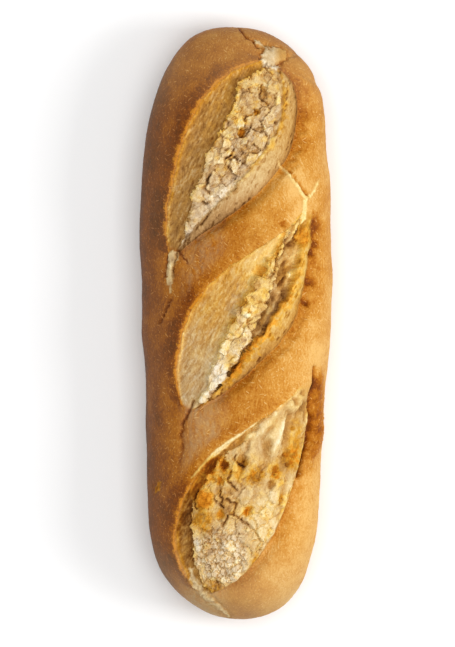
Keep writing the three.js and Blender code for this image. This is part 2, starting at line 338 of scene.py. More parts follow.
# The oven's spring: lips lift, the bridges of crust swell, and the leaves open. Torn crumb breaks into
# tilted plates, stretched skin is streaked along the slash, and the smooth walls keep long pores. Tone is
# the crumb's lightness, and warmth runs from floury grey to toasted.
LIP_RISE, LIP_REACH = 1.9, 9
LIP_OVERHANG, CREST_REACH, FOOT_REACH = 0.3, 1.2, 0.8
SWELL_RISE, SWELL_REACH = 1.8, 12
CREASE_REACH = 3.2
BAND_SLOPE, WALL_CURVE = 0.9, 1.8  # share of the band that slopes, and how late the wall drops
BRINK = 0.4  # half width of the edges of the hollow and of the wall
LEAST_STRIP = 0.5  # a narrower strip counts as this wide
LEAST_FADE, FULL_CRUMB, FULL_RELIEF = 0.02, 0.2, 0.5  # shares of the depth where a leaf starts and is full
CREASE_STROKES = 3  # strokes of browning are this many times shorter at a crease than at a lip
FAR = 99.0  # farther than any lip or crease
SLASH_GAP, PATTERN_GAP = 200, 40  # keep one slash's strokes and patterns apart from the next one's

PLATE = np.array((5.72, 4.4, 4.4))  # sizes of the torn crumb's plates, and of the curds on them
CURD = 1.8
MOUND, FOLD = np.array((15, 7.5, 7.5)), np.array((6, 2.6, 2.6))  # soft mounds, and folds in the hollows
PORE = np.array((3.0, 1.0, 1))
BEND, BEND_SIZE = 0.8, 4  # how far plates and folds are bent, and over what distance
WANDERS = {  # sizes along a slash, across it and from one to the next, and seed
    "grain": ((0.8, 0.8, 0.8), 4),
    "plates_part": ((6, 6, 6), 5),
    "curds_part": ((5, 5, 5), 6),
    "streak": ((3.2, 0.7, 1), 7),
    "long_streak": ((11, 2.0, 1), 8),
    "band_drift": ((4, 2, 1), 14),
    "lumps": ((10, 5, 1), 15),
    "drift": ((6, 6, 6), 16),
    "golden": ((2.4, 2.4, 2.4), 17),
    "pale": ((2.6, 0.8, 1), 32),
}
PLATES_PART, CURDS_PART = (-0.05, 0.3), (0.1, 0.5)  # noise at which cracks start, and at which they are open
PLATE_CRACK, CURD_CRACK = 0.06, 0.1  # widths as shares of a piece
CURD_CRACK_SHARE = 0.5  # a curd's crack is this deep beside a plate's
GOLDEN_SPOTS, PALE_SPOTS = (0.2, 0.45), (0.15, 0.4)
DOME, PORE_BRINK, PORE_SHARE = 0.5, (0.25, 0.45), 0.72
WALL_FOOT_SHADE = (0.6, 1)  # share of the wall that is painted darker towards the crease, as painted shade
LIP_BRINK, CREASE_SHADE_REACH, TORN_EDGE, RIM_WAVER = 0.8, 0.7, 0.9, 0.6
WIDE_BAND, FOOT_SHADE_REACH = (1.5, 5), 2.2
# Tone that follows the relief is painted light and shade: raised domes, folds and lumps are painted lighter,
# and cracks and pores darker. The wall is painted lighter at its rim and darker down to its foot, the crease
# is painted dark, and the torn crumb is painted greyer towards the hollow, where the wall shades it.
SHOWS = {  # how far each pattern stands out in an area, how much lighter it is, and how much warmer
    "broken": {
        "relief": dict(plate=0.6, curd=0.14, grain=0.06, crack=-0.8),
        "tone": dict(plate_own=0.16, curd_own=0.1, grain=0.04, crack=-0.25, over_torn=0.05, all=-0.02),
        "warmth": dict(plate_own=0.16, curd_own=0.14, golden=0.35, over_torn=-0.2, all=0.09),
    },
    "whole": {
        "relief": dict(long_streak=0.4, lumps=0.8, mound=0.5, domed=1.8, grain=0.06, all=-0.9),
        "tone": dict(long_streak=0.05, lumps=0.08, domed=0.14, all=-0.07),
        "warmth": dict(drift=0.15),
    },
    "torn_edge": {"relief": dict(curd=0.35), "warmth": dict(plate_own=0.5, all=0.55)},
    "band": {
        "relief": dict(pore=-0.16),
        "tone": dict(pale=0.1, pore=-0.08),
        "warmth": dict(band_drift=0.15, pale=-0.12),
    },
    "streaks": {"relief": dict(streak=0.2, long_streak=0.3), "tone": dict(streak=0.1, long_streak=0.1)},
    "band_foot_shade": {"tone": dict(all=-1)},
    "lip": {"tone": dict(all=0.06), "warmth": dict(all=0.35)},
    "hollow": {
        "relief": dict(folded=1.5, plate=0.5, curd=0.12),
        "tone": dict(folded=0.22, plate_own=0.14, crack=-0.15),
        "warmth": dict(plate_own=0.3),
    },
    "rim": {"tone": dict(curd_own=0.3, all=-0.06)},
    "hot_rim": {"warmth": dict(curd_own=0.8, all=1.0)},
    "wall": {
        "relief": dict(streak=0.06, long_streak=0.15, pore=-0.4),
        "tone": dict(streak=0.05, long_streak=0.05, pore=-0.16, over_wall=-0.1, wall_foot_shade=-0.1, all=0.06),
    },
    "crease": {"tone": dict(all=-0.12)},
}


def wander(places, seed, octaves=3):
    """Smooth noise between about -1 and 1 with lumps one unit across."""
    return np.array([noise.fractal(p, 0.9, 2.0, octaves) for p in (places + seed * 13.7).tolist()])


def plates(places, seed):
    """Broken plates one unit across: tilted relief, each plate's own share, and the distance to its edge."""
    places = places + seed * 11.3
    found = [noise.voronoi(p) for p in places.tolist()]
    centres = np.array([near[0] for gaps, near in found])
    edge = np.array([gaps[1] - gaps[0] for gaps, near in found])
    own = np.array([noise.cell_vector(near[0] * 31.7) for gaps, near in found])
    tilt = (2 * own - 1)[:, :2]
    relief = 2 * own[:, 2] - 1 + 2.0 * np.sum(tilt * (places - centres)[:, :2], axis=1)
    return relief, own[:, 0], edge


height, detail, crumb, chipped, scorch_and_crevice_shade, lip_heat = (np.zeros_like(x) for k in range(6))
tone, warmth = np.full(x.shape, 0.5), np.full(x.shape, 0.6)  # under the crust, where they don't show
lean = np.zeros(x.shape + (2,))
near_lip, near_crease = np.full(x.shape, FAR), np.full(x.shape, FAR)
edge_place = np.zeros(x.shape + (3,))  # place along the nearest lip or crease, and distance from it
edge_place[..., 1] = FAR
for number, slash in enumerate(SLASHES):
    share, offset = slash.locate(x, y)
    lip, torn, hollow, rim, wall = (slash.line(name, share) for name in slash.LINES)
    smooth_rim = slash.smooth_line("rim", share)
    fade = slash.fade(share) * above_waist
    tall = slash.heights
    outside_lip, outside_wall = offset - lip, wall - offset
    over_band = np.clip((lip - offset) / np.maximum(lip - torn, LEAST_STRIP), 0, 1)
    over_torn = np.clip((torn - offset) / np.maximum(torn - hollow, LEAST_STRIP), 0, 1)
    over_wall = np.clip((smooth_rim - offset) / np.maximum(smooth_rim - wall, LEAST_STRIP), 0, 1)
    in_torn = smooth(torn - offset, -slash.torn_brink, slash.torn_brink)
    in_hollow = smooth(hollow - offset, -BRINK, BRINK)
    in_wall = smooth(rim - offset, -BRINK, BRINK)
    floor = between(tall["foot"], tall["band"], smooth(over_band, 0, BAND_SLOPE))
    floor = between(floor, between(tall["torn"], tall["back"], over_torn), in_torn)
    floor = between(floor, tall["hollow"], in_hollow)
    floor = between(floor, between(tall["rim"], tall["crease"], over_wall**WALL_CURVE), in_wall)
    swell = SWELL_RISE * bell(outside_wall - SWELL_REACH, SWELL_REACH) * smooth(outside_wall, 0, CREASE_REACH)
    beside_wall = tall["crease"] * bell(outside_wall, CREASE_REACH) + swell
    inside_lip = np.where(outside_wall >= 0, beside_wall, floor)
    height += fade * np.where(outside_lip >= 0, LIP_RISE * bell(outside_lip, LIP_REACH), inside_lip)
    pull = np.where(outside_lip >= 0, -bell(outside_lip, CREST_REACH), bell(outside_lip, FOOT_REACH))
    lean += (fade * LIP_OVERHANG * np.where(offset > (lip + wall) / 2, pull, 0))[..., None] * slash.side

    live = fade > LEAST_FADE
    nearest = live & (outside_lip >= 0) & (outside_lip < near_lip)
    near_lip[nearest] = outside_lip[nearest]
    lip_heat[nearest] = through(slash.toasted, share[nearest])
    near_crease = np.where(live & (outside_wall >= 0), np.minimum(near_crease, outside_wall), near_crease)
    for away in (outside_lip, CREASE_STROKES * outside_wall):
        nearest = live & (away >= 0) & (away < edge_place[..., 1])
        along_edge = share * slash.length + SLASH_GAP * number
        edge_place[nearest] = np.stack([along_edge, away, 0 * away], axis=-1)[nearest]

    leaf = (outside_lip < 0) & (outside_wall < 0) & live
    across, torn_share, hollow_share, wall_share = offset[leaf], in_torn[leaf], in_hollow[leaf], in_wall[leaf]
    along = share[leaf] * slash.length
    flow = np.stack([along, across, np.full_like(along, PATTERN_GAP * number)], axis=-1)
    bent = flow + BEND * np.stack([wander(flow / BEND_SIZE, k) for k in (1, 2, 3)], axis=-1)
    seen = {name: wander(flow / sizes, seed) for name, (sizes, seed) in WANDERS.items()}
    seen["plate"], plate_own, plate_edge = plates(bent / PLATE, 1)
    seen["curd"], curd_own, curd_edge = plates(bent / CURD, 2)
    seen["mound"], mound_edge = plates(bent / MOUND, 18)[::2]
    pore_own, pore_edge = plates(flow / PORE, 9)[1:]
    seen["folded"] = wander(bent / FOLD, 29)
    seen["plate_own"], seen["curd_own"] = plate_own - 0.5, curd_own - 0.5
    plate_crack = bell(plate_edge, PLATE_CRACK) * smooth(seen["plates_part"], *PLATES_PART)
    curd_crack = bell(curd_edge, CURD_CRACK) * smooth(seen["curds_part"], *CURDS_PART)
    seen["crack"] = np.maximum(plate_crack, CURD_CRACK_SHARE * curd_crack)
    seen["golden"] = smooth(seen["golden"], *GOLDEN_SPOTS)
    seen["pale"] = smooth(seen["pale"], *PALE_SPOTS)
    seen["domed"] = smooth(mound_edge, 0, DOME)
    seen["pore"] = smooth(pore_edge, *PORE_BRINK) * (pore_own > PORE_SHARE)
    seen["over_torn"], seen["over_wall"] = over_torn[leaf], over_wall[leaf]
    seen["wall_foot_shade"] = smooth(over_wall[leaf], *WALL_FOOT_SHADE)
    seen["all"] = 1

    broken = through(slash.broken, share[leaf])
    in_none = (1 - hollow_share) * (1 - wall_share)
    areas = {
        "band": (1 - torn_share) * in_none,
        "torn": torn_share * in_none,
        "hollow": hollow_share * (1 - wall_share),
        "wall": wall_share,
        "lip": bell(lip[leaf] - across, LIP_BRINK),
        "crease": bell(across - wall[leaf], CREASE_SHADE_REACH),
        "rim": bell(rim[leaf] - across, slash.rim_brink * (1 + RIM_WAVER * seen["curd"])) * wall_share,
    }
    areas["broken"], areas["whole"] = areas["torn"] * broken, areas["torn"] * (1 - broken)
    areas["torn_edge"] = areas["broken"] * bell(np.maximum(torn[leaf] - across, 0), TORN_EDGE)
    areas["streaks"] = areas["band"] * slash.streaky
    areas["hot_rim"] = areas["rim"] * through(slash.rim_heat, share[leaf])
    # Painted shade on the band at the torn strip's foot; where the foot shade is negative the band is paler
    # there.
    at_foot = bell(across - torn[leaf], FOOT_SHADE_REACH) * smooth((lip - torn)[leaf], *WIDE_BAND)
    areas["band_foot_shade"] = areas["band"] * slash.foot_shade * at_foot
    relief, light, warm = np.zeros_like(along), np.zeros_like(along), np.zeros_like(along)
    for kind, values in (("relief", relief), ("tone", light), ("warmth", warm)):
        for area, kinds in SHOWS.items():
            values += areas[area] * sum(by * seen[name] for name, by in kinds.get(kind, {}).items())
    for area in slash.tones:
        light += areas[area] * through(slash.tones[area], share[leaf])
        warm += areas[area] * through(slash.warmths[area], share[leaf])
    into_crust = smooth(outside_wall[leaf], slash.soft_wall, -slash.soft_wall)
    crumb[leaf] = smooth(fade[leaf], LEAST_FADE, FULL_CRUMB) * into_crust
    detail[leaf] += smooth(fade[leaf], 0, FULL_RELIEF) * relief
    tone[leaf], warmth[leaf], chipped[leaf] = light, warm, areas["broken"]

# Where crust and crumb gave way: thin strips of pale crumb that tore open beyond the tips of the slashes
# and along a ridge of the last one. All edges are jagged, since bread tears along its bubbles.
JAG, JAG_SIZE = 0.9, 1.7  # how far edges wander, and the size of their teeth
FLAKE = (2.4, 1.2, 1.2)
TEARS = [  # tone, warmth, how ragged, and a path of (x, y, half width)
    (0.7, 0.3, 1, ((118.9, -8, 0.6), (117.4, -10.5, 1.0), (116.2, -14, 0.5))),
    (0.72, 0.12, 1, ((110.8, -11.4, 0.8), (108.6, -13.6, 1.8), (107.4, -17, 1.1))),
    (0.68, 0.4, 1, ((28.5, 26.4, 2.2), (23.2, 28.1, 1.9), (18.6, 28.3, 1.5), (11.8, 27.2, 0.3))),
    (
        0.68, 0.35, 1,
        ((-104, 19.8, 0.5), (-108, 18.8, 0.9), (-111.1, 16.8, 1.2), (-116.2, 11.7, 1.5), (-123.6, 3, 0.6)),
    ),
    (
        0.85, 0.7, 0.3,
        ((-41, -9, 0.3), (-46.9, -1.7, 0.8), (-49.8, 2.5, 1.1), (-53.6, 7.6, 1.1), (-57.4, 11.8, 0.7)),
    ),
    (0.66, 0.7, 0.3, ((-57.4, 11.8, 0.6), (-61.2, 15.2, 0.5), (-65, 18.2, 0.2))),
    (
        0.8, 0.8, 0.6,
        ((68, -18.5, 0.3), (59, -24, 0.8), (52.4, -28.3, 0.9), (44, -28.2, 1.2), (38, -24.6, 0.5)),
    ),
    (0.8, 0.8, 0.6, ((52, -29, 0.8), (55.5, -32, 0.7), (60, -33.4, 0.4))),
    (0.4, 1.3, 1, ((-67, 32.4, 0.3), (-69.3, 32.9, 1.0), (-71.2, 33.6, 0.4))),
]
TEAR_BRINK, TEAR_GROOVE = (-0.25, 0.35), 0.5
TEAR_RELIEF, TEAR_DEPTH = 0.45, 0.1
FLAKE_TONE, FLAKE_WARMTH = 0.16, 0.2


def wander_over(grid, sizes, seed, octaves=3):
    """Noise at each point of the grid, with lumps of the sizes."""
    return wander(grid.reshape(-1, 3) / sizes, seed, octaves).reshape(x.shape)


def inside_ribbon(path, jagged=1.0):
    """How far each place lies inside a ribbon along a path of (x, y, half width); negative outside it."""
    inside = np.full(x.shape, -FAR)
    at_x, at_y = between(x, jag_x, jagged), between(y, jag_y, jagged)
    for (x0, y0, half0), (x1, y1, half1) in zip(path, path[1:]):
        dx, dy = x1 - x0, y1 - y0
        share = np.clip(((at_x - x0) * dx + (at_y - y0) * dy) / (dx * dx + dy * dy), 0, 1)
        away = np.hypot(at_x - x0 - share * dx, at_y - y0 - share * dy)
        inside = np.maximum(inside, between(half0, half1, share) - away)
    return np.where(on_top, inside, -FAR)


jag_x = x + JAG * wander_over(plain, JAG_SIZE, 20)
jag_y = y + JAG * wander_over(plain, JAG_SIZE, 21)
flake = wander_over(plain, FLAKE, 22)
for tear_tone, tear_warmth, tattered, path in TEARS:
    inside = inside_ribbon(path, tattered)
    opened = smooth(inside, *TEAR_BRINK)
    edge = bell(inside + TEAR_GROOVE, TEAR_GROOVE)
    detail += tattered * (opened * (TEAR_RELIEF * flake - TEAR_DEPTH) - TEAR_RELIEF * edge)
    tone = between(tone, tear_tone + FLAKE_TONE * tattered * flake, opened)
    warmth = between(warmth, tear_warmth + FLAKE_WARMTH * tattered * flake, opened)
    crumb = np.maximum(crumb, opened)

# A thin blister of pale skin over the first tip, browner on its far side, with a groove round it that is
# painted dark as painted shade.
BLISTER_X, BLISTER_Y, BLISTER_LENGTH, BLISTER_WIDTH = 112.6, -16.2, 3.6, 5.6  # half sizes
BLISTER_RISE, BLISTER_WAVER = 0.9, 0.14
BLISTER_BRINK, GROOVE_PLACE, GROOVE_WIDTH = (0.92, 1.02), 1.05, 0.08  # in shares of its size
GROOVE_DEPTH = 0.5
FAR_SIDE = (-15, -19.5)
NEAR_TONE, FAR_TONE, BLISTER_FLAKES = 0.72, 0.58, 0.08
NEAR_WARMTH, FAR_WARMTH = 0.3, 0.8
NEAR_COVER, FAR_COVER = 0.9, 0.45  # how far it hides the crust's colour
from_blister = np.hypot((jag_x - BLISTER_X) / BLISTER_LENGTH, (jag_y - BLISTER_Y) / BLISTER_WIDTH)
from_blister += BLISTER_WAVER * flake
blister = on_top * (1 - smooth(from_blister, *BLISTER_BRINK))
groove = on_top * bell(from_blister - GROOVE_PLACE, GROOVE_WIDTH)
far_side = smooth(y, *FAR_SIDE)
detail += BLISTER_RISE * np.sqrt(np.clip(1 - from_blister, 0, 1)) - GROOVE_DEPTH * groove
tone = between(tone, between(NEAR_TONE, FAR_TONE, far_side) + BLISTER_FLAKES * flake, blister)
warmth = between(warmth, between(NEAR_WARMTH, FAR_WARMTH, far_side), blister)
crumb = np.maximum(crumb, blister * between(NEAR_COVER, FAR_COVER, far_side))
# painted shade in the groove
scorch_and_crevice_shade = np.maximum(scorch_and_crevice_shade, GROOVE_DEPTH * groove)

# Bubbles in the crumb: a few raised ones that stayed shut, and the many that burst into holes with toasted
# sides.
STAIN = 1.2  # a hole's colour reaches this much further than its slope
HOLES = [  # depth (a raised bubble's is negative), tone, warmth, brink, and ovals of (x, y, half sizes)
    (-1.4, 0.76, 0.5, 1.5, [(-73.4, -16.2, 3.4, 3.2)]),
    (-1.2, 0.42, 1.5, 1.0, [(-74.3, 13.1, 3.6, 3.3)]),
    (1.6, 0.5, 1.35, 0.6, [(-59.2, 5, 2.2, 1.4), (88.2, -8.6, 1.3, 1.2), (79.6, -2.5, 2.2, 1.5)]),
    (
        1.0, 0.6, 1.2, 0.8,
        [
            (21.8, -10.4, 2.6, 2.4), (8.6, -2.7, 2.0, 1.9), (1.3, 1.4, 1.8, 1.7),
            (-66.6, 6.5, 1.4, 1.2), (-80.2, 6.8, 1.9, 1.6), (-79, -5, 2.0, 1.2),
        ],
    ),
    (
        1.3, 0.5, 0.6, 1.5,
        [
            (96.3, -11.6, 2.2, 1.3), (92.3, 5.6, 1.2, 0.6), (97, 0.7, 0.8, 0.6),
            (-29.3, -27.1, 1.1, 0.8), (-32.8, -24.4, 1.4, 1.2), (-35.4, -28.1, 2.2, 0.9),
            (-39.9, -22, 2.2, 1.1), (-44.6, -23.7, 1.0, 0.9), (-48, -21.3, 7, 1.4),
            (-51.5, -13, 3.6, 1.6), (-62.3, -15.8, 2.1, 1.5), (-57.6, -2, 3.2, 1.5),
            (-59.7, -22.4, 1.1, 1.0), (-67.8, -14.7, 1.7, 1.2), (-73.9, -18.6, 1.5, 0.8),
            (-112.1, 12.4, 1.3, 1.1), (117.3, -12.7, 0.7, 1.1), (116.3, -10, 0.5, 0.9),
        ],
    ),
]


def in_spot(spot_x, spot_y, half_along, half_across, brink=0.5):
    """1 inside an uneven oval, falling to 0 over the brink, a share of its size."""
    away = np.hypot((jag_x - spot_x) / half_along, (jag_y - spot_y) / half_across)
    return on_top * (1 - smooth(away, 1 - brink / 2, 1 + brink / 2))


for depth, bottom_tone, bottom_warmth, brink, spots in HOLES:
    for spot in spots:
        detail -= depth * in_spot(*spot, brink)
        stained = in_spot(*spot, STAIN * brink)
        tone = between(tone, bottom_tone, stained)
        warmth = between(warmth, bottom_warmth, stained)

# Zigzag cracks, where crust and crumb dried and shrank as the loaf cooled. Each is painted dark along its
# line, as painted shade in it.
CRACKS = [
    ((125, -0.8), (120.4, -4.3), (118.8, -7.3), (116, -9.1)),
    ((100.3, -10.9), (94.6, -9.6), (91.9, -14)),
    ((84.9, -3.5), (86.5, -3.9), (87.5, -6.6)),
    ((72.7, 0.8), (70.4, 2.2), (68.4, 4.6), (66.5, 4.4)),
    ((70.4, 2.2), (69.5, 0.2), (67.5, -0.6)),
    ((64, -22.4), (57, -26.8), (53, -29.6)),
    ((62.1, 10.4), (56.5, 13.4), (54.1, 10.7)),
    ((51.1, 14), (50, 12.5), (51.1, 11.3)),
    ((46.4, 11), (44, 12.2), (41.1, 14.9)),
    ((43.5, -27.4), (39.3, -26.2), (35.9, -24.9)),
    ((30.5, 24.5), (29.2, 23.6), (25, 20.2)),
    ((30, 25), (24, 26.3), (19.5, 26.8)),
    ((29.1, -16.9), (24.1, -16.5), (19, -14.4)),
    ((28, 29), (19, 30.2)),
    ((10.3, 27), (5.5, 29.2), (-0.2, 31.8)),
    ((-54.9, -0.1), (-57.3, 0.9), (-60.6, -3.4)),
    ((-62.4, 2), (-65.9, 3.6), (-70.5, -0.4)),
    ((-70, 6.3), (-72.6, 6.9), (-74.3, 5.5), (-76.1, 6.9), (-77.8, 5)),
    ((-71, 16.6), (-74.5, 17.8), (-78, 16.4)),
    ((-73.7, 4.2), (-75.1, 2.3), (-75.9, -0.1), (-79.6, 0.9)),
    ((-85.1, 5.5), (-79.9, 2.8), (-81, -0.1), (-84.2, -4.4), (-87.4, -7.3), (-90, -6.6)),
]
LONG_CRACK = (
    (-33, 18), (-42.2, 22.4), (-45.2, 22.5), (-47.3, 23.4), (-49.6, 22.1), (-58.1, 23.1), (-63, 23.8),
)
CRACK_WIDTH, LONG_CRACK_WIDTH, CRACK_DEPTH, CRACK_SHADE = 0.8, 1.1, 0.9, 0.32
CRACK_JAG = 0.5
FAINT, FAINT_RUN = 0.35, (-58, -46)  # the long crack is this faint at its far end
for line in (*CRACKS, LONG_CRACK):
    from_crack = inside_ribbon([(*place, 0) for place in line], CRACK_JAG)
    crack = bell(from_crack, (LONG_CRACK_WIDTH if line is LONG_CRACK else CRACK_WIDTH) / 2)
    if line is LONG_CRACK:
        crack *= between(FAINT, 1, smooth(x, *FAINT_RUN))
    detail -= CRACK_DEPTH * crack
    # painted shade in the crack
    tone -= CRACK_SHADE * crack
    scorch_and_crevice_shade = np.maximum(scorch_and_crevice_shade, crack)

# Painted light and shade: crests of the crumb are painted paler and its hollows darker than the places around
# them.
HOLLOW_SHADE = 0.09  # change of tone for each millimetre above or below the places around
DEEPEST = 2  # millimetres beyond which it changes no more
AROUND = 5  # rows and columns of the grid on each side that count as around


def around(values):
    for axis in (0, 1):
        values = sum(np.roll(values, k, axis) for k in range(-AROUND, AROUND + 1)) / (2 * AROUND + 1)
    return values


tone += HOLLOW_SHADE * np.clip(detail - around(detail), -DEEPEST, DEEPEST)

# Two patches of the last slash where the crumb broke up: large soft pieces, and a floury heap of small
# curds. The gaps between curds are painted darker, as painted shade.
CRUMBLED = [  # oval, size of a curd, relief, tone, warmth, how far curds differ in tone, painted shade of gaps
    ((-86, -11.5, 13, 6), 4.8, 0.35, 0.78, 0.45, 0.12, 0.12),
    ((-98, 6.5, 12.5, 10.5), 2.4, 0.45, 0.83, 0.17, 0.22, 0.2),
]
PATCH_BRINK, PATCH_CHIPPED = 0.4, 0.4
SHAKE, SHAKE_SIZE = 0.3, 0.8  # how far curds are bent, and over what distance, in shares of their size
GAP_WIDTH, GAP_DEPTH, GAP_WARMTH = 0.12, 0.5, 0.3
WARM_CURDS = 0.35  # how much warmer the few warmest curds are
for spot, curd_size, curd_rise, curd_tone, curd_warmth, variety, gap_shade in CRUMBLED:
    patch = in_spot(*spot, PATCH_BRINK) * crumb
    where = patch > 0
    cover, at = patch[where], plain[where]
    shaken = np.stack([wander(at / (SHAKE_SIZE * curd_size), k) for k in (23, 24, 25)], axis=-1)
    curd, curd_own, curd_edge = plates((at + SHAKE * curd_size * shaken) / curd_size, 26)
    gap = bell(curd_edge, GAP_WIDTH)
    detail[where] += cover * (curd_rise * curd - GAP_DEPTH * gap)
    new_tone = curd_tone + variety * (curd_own - 0.5) - gap_shade * gap
    new_warmth = curd_warmth + WARM_CURDS * curd_own**4 + GAP_WARMTH * gap
    tone[where] = between(tone[where], new_tone, cover)
    warmth[where] = between(warmth[where], new_warmth, cover)
    chipped[where] = between(chipped[where], PATCH_CHIPPED, cover)

# Places where the crumb is a little darker, paler, or more golden than the rest of its strip. The darker
# spots at (-72, 5), (-80, 3), (-88, 7) and (-96, 12), in the last slash's crack network and floury heap, are
# painted shade.
TINTS = [  # x, y, half sizes, how much lighter, and how much warmer
    (87, -1, 4, 3, -0.08, 0.3), (69, -6, 4, 3, -0.1, 0.3), (64, 4, 3.5, 3, -0.12, 0.1),
    (54, 16, 4, 3, -0.09, 0.1), (49, 9, 3, 3, 0.1, 0), (46, 17, 5, 3, -0.09, 0.1),
    (36.5, -28.6, 4, 3, -0.12, 0.5), (36, -21, 3, 3, 0.12, 0), (21, -20.6, 5, 2.6, -0.16, 0.1),
    (16, 9, 5, 3, 0.1, -0.1), (9, 0, 9, 5, 0.0, -0.3), (1, -6, 3, 3, 0.12, 0.1),
    (-17, 2, 3, 2.5, -0.1, 0.5), (-24, 9, 9, 6, 0.08, -0.15), (-40, -19, 4, 3, 0.12, 0),
    (-46.8, -18.1, 6, 2.5, 0.1, -0.05), (-46.8, -25.2, 6, 2.5, -0.06, 0.45), (-47, -6, 3, 3, 0.1, 0),
    (-56.5, -24, 5, 3.2, -0.14, 0.9), (-60, -19, 3.5, 3, -0.14, 0.2), (-61, 8, 5, 5, -0.14, 0.7),
    (-62, -3, 5, 8, -0.14, 0.5), (-62, -15.5, 4, 2.5, 0, 0.5), (-65, -8, 3.5, 3, -0.14, 0.4),
    (-65.7, -17.7, 4, 3, -0.06, 0.45), (-68, 14.5, 8, 5, 0.04, 0.5), (-72, 5, 5, 3.5, -0.12, 0.1),
    (-75, -19, 4, 3, -0.06, 0.5), (-79, -5, 3, 2.5, 0, 0.5), (-80, 3, 4, 5, -0.12, 0.15),
    (-84, 14, 6, 4, -0.14, 0.6), (-88, 7, 4, 4, -0.18, 0), (-90, 16.6, 4, 2.4, 0.16, -0.3),
    (-96, 12, 4.5, 2.8, -0.22, 0), (-101, -8, 4, 3, -0.12, 0.4), (-111, 9, 4, 4, -0.24, 0.4),
]
TINT_BRINK = 1.2
SPECK, SPECKED = 1.6, (-0.25, 0.3)
specks = smooth(wander_over(plain, SPECK, 30), *SPECKED)
for *spot, lighter, warmer in TINTS:
    tint = in_spot(*spot, TINT_BRINK)
    tone += lighter * tint
    warmth += warmer * tint * (0.5 + 0.7 * specks)

# Burst bubbles in the crust beside the slashes, scorched brown.
CRUST_HOLES = [
    (40, -33.2, 3.8, 3.0), (33.4, -33.7, 1.8, 1.2), (29.1, -32.7, 1.7, 1.2), (17.3, -31.8, 1.7, 1.4),
    (8.4, -29.9, 1.6, 1.1), (41.3, -19.4, 1.2, 1.2),
]
CRUST_HOLE_DEPTH, CRUST_HOLE_BRINK = 1.0, 1.2
SCORCH, SCORCH_BRINK = 0.9, 1.4
for spot in CRUST_HOLES:
    detail -= CRUST_HOLE_DEPTH * in_spot(*spot, CRUST_HOLE_BRINK)
    scorch_and_crevice_shade = np.maximum(scorch_and_crevice_shade, SCORCH * in_spot(*spot, SCORCH_BRINK))

# A roll of crust that folded back beside the last slash, with a crease between it and the crumb that is
# painted dark as painted shade.
ROLL = (
    (-12, -33.4, 0.2), (-18, -34.4, 1.0), (-23, -34.6, 2.0), (-27.4, -34.6, 2.7), (-36.7, -34, 2.4),
    (-43.8, -34.3, 1.9), (-48.5, -33.8, 1.8), (-53.2, -32.2, 2.0), (-59.3, -30, 1.6), (-64, -28.6, 0.7),
)
ROLL_CREASE = (
    (-18.5, -32), (-25, -32.2), (-30.4, -30.8), (-36.7, -30.8), (-39.1, -31.9), (-43.8, -32), (-48.5, -31.3),
    (-54.5, -29.2), (-59.3, -27.8), (-64.4, -27),
)
ROLL_RISE, ROLL_BRINK = 1.6, (-0.4, 1.6)
ROLL_START, ROLL_SIDE = (-14, -27), (-40, -33)  # X over which it rises, and Y over which its outer side does
ROLL_JAG, CREASE_JAG = 0.5, 0.3
CREASE_WIDTH, CREASE_DEPTH, CREASE_SHADE = 1.3, 2.0, 1.5
LEAST_ROLL = 0.2  # where the roll starts to hide the strokes of browning
roll = smooth(inside_ribbon(ROLL, ROLL_JAG), *ROLL_BRINK) * smooth(x, *ROLL_START)
from_crease = inside_ribbon([(*place, 0) for place in ROLL_CREASE], CREASE_JAG)
crease = bell(from_crease, CREASE_WIDTH / 2)
detail += ROLL_RISE * roll * smooth(y, *ROLL_SIDE) - CREASE_DEPTH * crease
crumb *= 1 - np.maximum(roll, crease)
# the crease is painted dark as painted shade
scorch_and_crevice_shade = np.maximum(scorch_and_crevice_shade, CREASE_SHADE * crease)
edge_place[roll > LEAST_ROLL] = (0, FAR, 0)

# The crust pushed out into a shoulder beside the first tip of the first slash, behind a shallow groove.
SHOULDER_X, SHOULDER_Y, SHOULDER_REACH, SHOULDER_RISE = 105, -29, 8, 2.0
SHOULDER_GROOVE = ((116, -27, 0), (113.3, -24.5, 0), (111.2, -21.2, 0), (109, -17.3, 0))
SHOULDER_GROOVE_DEPTH, SHOULDER_GROOVE_WIDTH = 0.7, 1.0
height += above_waist * SHOULDER_RISE * bell(np.hypot(x - SHOULDER_X, y - SHOULDER_Y), SHOULDER_REACH)
detail -= SHOULDER_GROOVE_DEPTH * bell(inside_ribbon(SHOULDER_GROOVE), SHOULDER_GROOVE_WIDTH)

# The crust up close: slow unevenness, fine pebbling, and knobs beside the creases, except where the first
# bridge of crust was pulled thin and towards the last end.
UNEVEN, PEBBLE, KNOB = 14, 1.5, 2.8
UNEVEN_RISE, PEBBLE_RISE, KNOB_RISE = 0.3, 0.08, 0.7
KNOB_PLACE, KNOB_REACH, KNOBBLY_SIDE = 2.2, 2.4, (8, -14)
THIN_X, THIN_Y, THIN_REACH = 50, -15, 13
PLAIN_END, PLAIN_END_SHARE = (-60, -75), 0.7


def grid_normals(points):
    """Outward unit normals of the grid."""
    along = np.gradient(points, axis=0)
    across = np.roll(points, -1, axis=1) - np.roll(points, 1, axis=1)
    normal = np.cross(along, across)
    return normal / np.maximum(np.linalg.norm(normal, axis=-1, keepdims=True), TINY**2)


